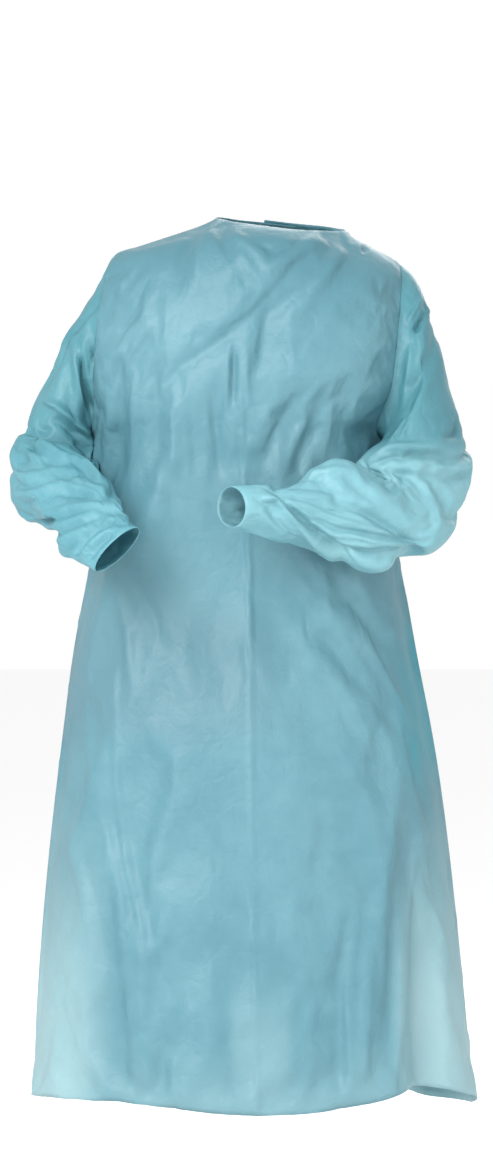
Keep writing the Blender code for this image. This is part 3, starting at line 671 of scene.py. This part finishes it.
def drawCloth(thing):
    data = thing.data
    shares = shareOfPanels(data)
    for row in draws:
        which = [panels.index(node) for node in row.sheets]
        others = set(range(len(panels))) - set(which)
        points, _ = meshArrays(data)
        tree = treeOf(data, points, others) if others else None
        length = np.linalg.norm(row.move)
        way = Vector(row.move).normalized()
        share = shares[which].sum(0)
        inner = share > room["seamShare"]
        own = smooth(1 - np.linalg.norm(points - row.place, axis=1) / row.reach) * share
        for i in np.flatnonzero(own > room["least"]):
            step = length * own[i]
            if tree and inner[i]:
                hit = tree.ray_cast(Vector(points[i]), way, step + room["drawGap"])[3]
                if hit is not None:
                    step = max(0.0, min(step, hit - room["drawGap"]))
            points[i] += np.array(way) * step
        placePoints(data, points)


def markRoom(thing):
    data = thing.data
    points, normals = meshArrays(data)
    tree = treeOf(data, points, range(len(panels)))
    for name, way in (("roomIn", -1), ("roomOut", 1)):
        space = np.full(len(points), room["farthest"])
        for i, (point, normal) in enumerate(zip(points, normals)):
            along = Vector(normal) * way
            hit = tree.ray_cast(Vector(point) + along * room["start"], along, room["farthest"])[3]
            if hit is not None:
                space[i] = hit
        writeMark(data, name, space)
    writePlaces(data, "base", points)
    writePlaces(data, "baseNormal", normals)


def pressFolds(thing, side, softShare=1.0, crispShare=foldShape["firstCrisp"]):
    data = thing.data
    points, _ = meshArrays(data)
    normals = calmNormals(data)
    low, high = foldShape["facing"]
    facing = smooth((normals @ np.array(towards[side], float) - low) / (high - low))
    seen = seenFrom(points, side)
    shares = shareOfPanels(data)
    moves = np.zeros(len(points))
    for node, table in folds[side].items():
        own = shares[panels.index(node)]
        for crisp, share in ((False, softShare), (True, crispShare)):
            rows = [row for row in table if (row.crisp >= foldShape["crispFrom"]) == crisp]
            if share and rows:
                moves += foldDepths(seen, rows) * own * share
    placePoints(data, points + normals * (moves * facing)[:, None] / 1000)


def keepRoom(thing):
    data = thing.data
    points, _ = meshArrays(data)
    normals = calmNormals(data)
    rise = ((points - readPlaces(data, "base")) * normals).sum(1)
    space = np.where(rise > 0, readMark(data, "roomOut"), readMark(data, "roomIn")) * room["share"]
    placePoints(data, points + normals * (np.tanh(rise / space) * space - rise)[:, None])


# the film is a little larger than its place, so it buckles: a cloth simulation of each piece

crumple = {
    "limit": 0.012,                 # no point moves farther than this
    "calmAbove": (-0.285, -0.215),  # the upper sleeves hang smoother: where this starts and is full
    "calmShare": 0.8,
    "calmHold": 0.3,
    "rimHold": 0.3,
    "bending": 0.05,
    "frames": 20,
    "lapReach": 0.03,               # the under back follows the upper one this near to it
    "lapFade": 1.4,
}


def markSeams(thing):  # 1 where two panels meet, and 1 along the garment's open edges
    data = thing.data
    owners = [set() for _ in data.vertices]
    uses = {}
    for polygon in data.polygons:
        for i in polygon.vertices:
            owners[i].add(polygon.material_index)
        for key in polygon.edge_keys:
            uses[key] = uses.get(key, 0) + 1
    rim = {i for key, count in uses.items() if count == 1 for i in key}
    writeMark(data, "seam", [float(len(owner) > 1) for owner in owners])
    writeMark(data, "rim", [float(i in rim) for i in range(len(owners))])


def separatePanels(thing):
    pieces = {}
    for number, node in enumerate(panels):
        piece = thing.copy()
        piece.data = thing.data.copy()
        piece.name = piece.data.name = node + "Film"
        bpy.context.scene.collection.objects.link(piece)
        mesh = bmesh.new()
        mesh.from_mesh(piece.data)
        others = [face for face in mesh.faces if face.material_index != number]
        bmesh.ops.delete(mesh, geom=others, context="FACES")
        mesh.to_mesh(piece.data)
        mesh.free()
        pieces[node] = piece
    bpy.data.objects.remove(thing)
    return pieces


def holdFilm(thing, node, before):  # how firmly each point stays, and how little of it grows
    easy = sheets[node]["hold"]
    hold = thing.vertex_groups.new(name="hold")
    hold.add(range(len(before)), easy, "REPLACE")
    calm = thing.vertex_groups.new(name="calm")
    if node.startswith("sleeve"):
        low, high = crumple["calmAbove"]
        for i, share in enumerate(smooth((before[:, 2] - low) / (high - low))):
            if share > 0:
                hold.add([i], easy + (crumple["calmHold"] - easy) * float(share), "REPLACE")
                calm.add([i], crumple["calmShare"] * float(share), "REPLACE")
    for name, strength in (("rim", crumple["rimHold"]), ("seam", 1.0)):
        hold.add([int(i) for i in np.flatnonzero(readMark(thing.data, name))], strength, "REPLACE")


def crumpleFilm(thing, node):
    before, _ = meshArrays(thing.data)
    holdFilm(thing, node, before)
    modifier = thing.modifiers.new("crumple", "CLOTH")
    settings = modifier.settings
    settings.bending_stiffness = crumple["bending"]
    settings.vertex_group_mass = "hold"
    settings.vertex_group_shrink = "calm"
    settings.shrink_min = -sheets[node]["growth"]
    settings.shrink_max = 0.0
    settings.effector_weights.gravity = 0.0
    modifier.collision_settings.use_collision = False
    for number in range(1, crumple["frames"] + 1):
        bpy.context.scene.frame_set(number)
    applyModifier(thing, modifier)
    bpy.context.scene.frame_set(1)
    thing.vertex_groups.clear()
    after, _ = meshArrays(thing.data)
    middling, far = np.percentile(np.linalg.norm(after - before, axis=1), (50, 99)) * 1000
    print("  crumpled", node, "by", round(middling, 1), "mm, and by up to", round(far, 1), "mm")
    return before, softLimit(after - before, crumple["limit"])


def crumpleAll(pieces):
    done = {node: crumpleFilm(piece, node) for node, piece in pieces.items()}
    # where the two backs lap, the under one moves with the upper one
    upper, upperMoves = done["back_left"]
    under, underMoves = done["back_right"]
    tree = KDTree(len(upper))
    for i, point in enumerate(upper):
        tree.insert(point, i)
    tree.balance()
    for i, point in enumerate(under):
        _, near, distance = tree.find(point)
        share = float(smooth(crumple["lapFade"] - distance / crumple["lapReach"]))
        underMoves[i] += (upperMoves[near] - underMoves[i]) * share
    for node, (before, moves) in done.items():
        placePoints(pieces[node].data, before + moves)


# creases stand out more once what a few rounds of smoothing takes away is added
crease = {
    "rounds": 6,
    "smoothing": 0.5,
    "gain": 0.85,
    "most": 0.0022,
}


def sharpen(thing):
    data = thing.data
    points, _ = meshArrays(data)
    ends = np.empty(len(data.edges) * 2, int)
    data.edges.foreach_get("vertices", ends)
    ends = ends.reshape(-1, 2)
    count = np.bincount(ends.ravel(), minlength=len(points))[:, None]
    inner = 1 - np.maximum(readMark(data, "seam"), readMark(data, "rim"))
    smoothed = points.copy()
    for _ in range(crease["rounds"]):
        total = np.zeros_like(points)
        np.add.at(total, ends[:, 0], smoothed[ends[:, 1]])
        np.add.at(total, ends[:, 1], smoothed[ends[:, 0]])
        smoothed += (total / count - smoothed) * (crease["smoothing"] * inner)[:, None]
    placePoints(data, points + softLimit(points - smoothed, crease["most"]) * crease["gain"])


gown = weldPieces()
subdivide(gown, skin["roughLevels"])
drawCloth(gown)
markRoom(gown)
for side in folds:
    pressFolds(gown, side)
markSeams(gown)
pieces = separatePanels(gown)
print("folds pressed")
crumpleAll(pieces)
print("film crumpled")
for node, piece in pieces.items():
    subdivide(piece, skin["fineLevels"])
    sharpen(piece)
    for side in folds:
        if node in folds[side]:
            pressFolds(piece, side, softShare=0.0, crispShare=sheets[node]["creases"])
    keepRoom(piece)
print("creases sharpened")

# the film's wall

shell = {
    "thickness": 0.0006,  # thicker than real film, so that it shades as a sheet
}


def addWall(piece):
    modifier = piece.modifiers.new("wall", "SOLIDIFY")
    modifier.thickness = shell["thickness"]
    modifier.offset = -1
    modifier.use_rim = True
    modifier.material_offset = 1
    modifier.material_offset_rim = 0
    applyModifier(piece, modifier)
    piece.data.shade_smooth()


# the film's look


class Wire:  # a socket's value, so that shader maths reads as sums
    def __init__(self, look, socket):
        self.look = look
        self.socket = socket

    def math(self, operation, other, swap=False):
        pair = (other, self) if swap else (self, other)
        return self.look.node("Math", {"operation": operation}, {0: pair[0], 1: pair[1]})

    def __add__(self, other):
        return self.math("ADD", other)

    def __sub__(self, other):
        return self.math("SUBTRACT", other)

    def __rsub__(self, other):
        return self.math("SUBTRACT", other, swap=True)

    def __mul__(self, other):
        return self.math("MULTIPLY", other)

    __radd__ = __add__
    __rmul__ = __mul__


class Look:  # one material and its nodes
    def __init__(self, name):
        self.material = bpy.data.materials.new(name)
        self.material.use_nodes = True
        self.tree = self.material.node_tree
        self.shader = self.tree.nodes["Principled BSDF"]
        self.output = self.tree.nodes["Material Output"]

    def put(self, socket, value):
        if isinstance(value, Wire):
            self.tree.links.new(value.socket, socket)
        else:
            socket.default_value = value

    def node(self, kind, settings=None, values=None, output=0):
        new = self.tree.nodes.new("ShaderNode" + kind)
        for key, value in (settings or {}).items():
            setattr(new, key, value)
        for key, value in (values or {}).items():
            self.put(new.inputs[key], value)
        return Wire(self, new.outputs[output])

    def blend(self, factor, low, high):  # between two colours
        return self.node("Mix", {"data_type": "RGBA"}, {0: factor, 6: low, 7: high}, 2)

    def step(self, value, ends):  # 0 up to the first end and 1 from the second
        return self.node("MapRange", {"interpolation_type": "SMOOTHSTEP"}, {
            "Value": value, "From Min": ends[0], "From Max": ends[1],
        })

    def noise(self, place, scale, detail=2.0, roughness=0.5, distortion=0.0):
        return self.node("TexNoise", None, {
            "Vector": place, "Scale": scale, "Detail": detail,
            "Roughness": roughness, "Distortion": distortion,
        })


film = {
    # deepest and lightest colour of each part; the upper sleeve's darker colour is painted shade, and the
    # left forearm's lighter colour is painted light
    "body": ((0.091, 0.232, 0.282, 1), (0.124, 0.280, 0.330, 1)),
    # painted shade: the upper sleeves darker than the forearms
    "shadedUpperSleeve": ((0.066, 0.222, 0.268, 1), (0.090, 0.263, 0.306, 1)),
    "rightForearm": ((0.098, 0.292, 0.350, 1), (0.140, 0.355, 0.410, 1)),
    # painted light: the left forearm lighter than the right one, as if more strongly lit
    "litLeftForearm": ((0.170, 0.388, 0.442, 1), (0.228, 0.458, 0.504, 1)),
    "inside": (0.16, 0.32, 0.36, 1),
    "insideShare": 0.6,
    "clouds": (7.0, 3.0, 0.55),          # scale, detail and roughness of the broad shades
    "mottle": (38.0, 3.0, 0.6, 0.6),     # and of the fine ones, with their distortion
    "mottleShare": 0.3,
    "shadeEnds": (0.34, 0.66),
    # painted shade: above these levels the sleeve takes the darker upper sleeve colour
    "sleeveEnds": (-0.300, -0.250),      # levels where the forearm's colour turns to the upper sleeve's
    "sleeveWander": 0.04,
    "roughness": (0.40, 0.56),
    "ior": 1.47,
    "throughLight": 0.22,                # share of light that passes through the film
    "throughColor": (0.20, 0.62, 0.72, 1),
    "bump": 0.45,
}
# painted shade and painted light on the body's film, by level and across: darker where it hangs in shade or
# lies double, paler where light passes through it
paintedShadeAndLight = {
    # painted shade: the shoulders darker
    "shoulder": {"color": (0.073, 0.199, 0.243, 1), "share": 0.8, "levels": (-0.16, -0.03)},
    # painted shadow: a greyer, darker band below the forearms
    "belly": {
        "color": (0.098, 0.198, 0.243, 1), "share": 0.5,
        "low": (-0.68, -0.60), "high": (-0.46, -0.54), "across": (0.08, -0.04),
    },
    # painted shade: a darker, more saturated patch on the left side under the left arm
    "underLeftArm": {
        "color": (0.041, 0.262, 0.320, 1), "share": 0.7,
        "low": (-0.74, -0.66), "high": (-0.48, -0.54), "across": (0.165, 0.20),
    },
    # painted light: paler at the hem, the lower sides and down the middle, where light passes through the
    # film
    "pale": {
        "color": (0.29, 0.45, 0.475, 1), "cloudGain": 0.8, "cloudStart": 0.6,
        "hem": (-0.99, -1.135), "hemShare": 0.35,
        "sides": (-0.70, -1.02), "sidesShare": 0.9, "right": (-0.235, -0.165), "left": (0.155, 0.20),
        "middle": (-0.90, -1.05), "middleShare": 0.4, "middleAt": 0.004, "middleHalf": 0.05,
    },
}
# the film's relief: the crinkles' scale, flatness and height, then the finer waves and grain
relief = {
    "largeCrinkles": (24.0, 0.16, 0.004),
    "smallCrinkles": (70.0, 0.2, 0.0011),
    "crinkleWander": (0.75, 1.2),
    "waves": (55.0, 3.0, 0.6, 1.2),
    "waveHeight": 0.0016,
    "grain": (420.0, 2.0),
    "grainHeight": 0.00006,
}


def patch(look, tint, x, z):  # 1 inside a patch's levels and width, 0 outside
    return look.step(z, tint["low"]) * look.step(z, tint["high"]) * look.step(x, tint["across"])


# the body's colour with its painted shade at the shoulders, below the forearms and under the left arm, and
# its painted light at the hem, the lower sides and the middle
def bodyColor(look, color, clouds, x, z):
    # painted shade at the shoulders
    tint = paintedShadeAndLight["shoulder"]
    color = look.blend(look.step(z, tint["levels"]) * tint["share"], color, tint["color"])
    # painted shadow below the forearms and painted shade under the left arm
    for name in ("belly", "underLeftArm"):
        tint = paintedShadeAndLight[name]
        color = look.blend(patch(look, tint, x, z) * tint["share"], color, tint["color"])
    # painted light at the hem, the lower sides and the middle
    pale = paintedShadeAndLight["pale"]
    hem = look.step(z, pale["hem"])
    inward = look.step(x, pale["right"]) * (1.0 - look.step(x, pale["left"]))
    sides = look.step(z, pale["sides"]) * (1.0 - inward)
    off = x - pale["middleAt"]
    middle = look.step(z, pale["middle"]) * (1.0 - look.step(off * off, (0.0, pale["middleHalf"] ** 2)))
    share = (hem * pale["hemShare"]).math("MAXIMUM", sides * pale["sidesShare"])
    share = share.math("MAXIMUM", middle * pale["middleShare"])
    return look.blend(share * (clouds * pale["cloudGain"] + pale["cloudStart"]), color, pale["color"])


def crinkles(look, place, scale, flat, height):  # flat facets between small creases
    finer, reach = relief["crinkleWander"]
    wander = look.node("TexNoise", None, {"Vector": place, "Scale": scale * finer, "Detail": 2.0}, 1)
    wander = look.node("VectorMath", {"operation": "SCALE"}, {0: wander, "Scale": reach / scale})
    moved = look.node("VectorMath", {"operation": "ADD"}, {0: place, 1: wander})
    cells = look.node("TexVoronoi", {"feature": "DISTANCE_TO_EDGE"}, {"Vector": moved, "Scale": scale})
    return cells.math("MINIMUM", flat) * height


def filmLook(name, part, inside=False):
    look = Look(name)
    place = look.node("TexCoord", None, None, 3)
    parts = look.node("SeparateXYZ", None, {0: place}).socket.node
    x, _, z = (Wire(look, parts.outputs[k]) for k in range(3))
    clouds = look.noise(place, *film["clouds"])
    mottle = look.noise(place, *film["mottle"])
    shade = clouds * (1 - film["mottleShare"]) + mottle * film["mottleShare"]
    shade = look.step(shade, film["shadeEnds"])
    color = look.blend(shade, *film[part])
    if part == "body":
        color = bodyColor(look, color, clouds, x, z)
    else:
        # painted shade: above the sleeve levels the sleeve turns to the darker upper sleeve colour
        upper = look.blend(shade, *film["shadedUpperSleeve"])
        color = look.blend(look.step(z + clouds * film["sleeveWander"], film["sleeveEnds"]), color, upper)
    if inside:
        color = look.blend(film["insideShare"], color, film["inside"])
    look.put(look.shader.inputs["Base Color"], color)
    low, high = film["roughness"]
    look.put(look.shader.inputs["Roughness"], mottle * (high - low) + low)
    look.put(look.shader.inputs["IOR"], film["ior"])
    height = crinkles(look, place, *relief["largeCrinkles"]) + crinkles(look, place, *relief["smallCrinkles"])
    height = height + look.noise(place, *relief["waves"]) * relief["waveHeight"]
    height = height + look.noise(place, *relief["grain"]) * relief["grainHeight"]
    bump = look.node("Bump", None, {"Height": height, "Strength": film["bump"], "Distance": 1.0})
    look.put(look.shader.inputs["Normal"], bump)
    through = look.node("BsdfTranslucent", None, {"Color": film["throughColor"], "Normal": bump})
    mixed = look.node("MixShader", None, {
        0: film["throughLight"], 1: Wire(look, look.shader.outputs[0]), 2: through,
    })
    look.put(look.output.inputs["Surface"], mixed)
    return look.material


looks = {}
for part in ("body", "rightForearm", "litLeftForearm"):
    looks[part] = [filmLook(part + "Film", part), filmLook(part + "FilmInside", part, inside=True)]
print("film looks ready")

for node, piece in pieces.items():
    sheet = sheets[node]
    piece.data.materials.clear()
    for material in looks[sheet["film"]]:
        piece.data.materials.append(material)
    piece.data.polygons.foreach_set("material_index", [0] * len(piece.data.polygons))
    addWall(piece)
    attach(piece, "root")
    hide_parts(node)
    print("  finished", piece.name, len(piece.data.polygons), "faces")
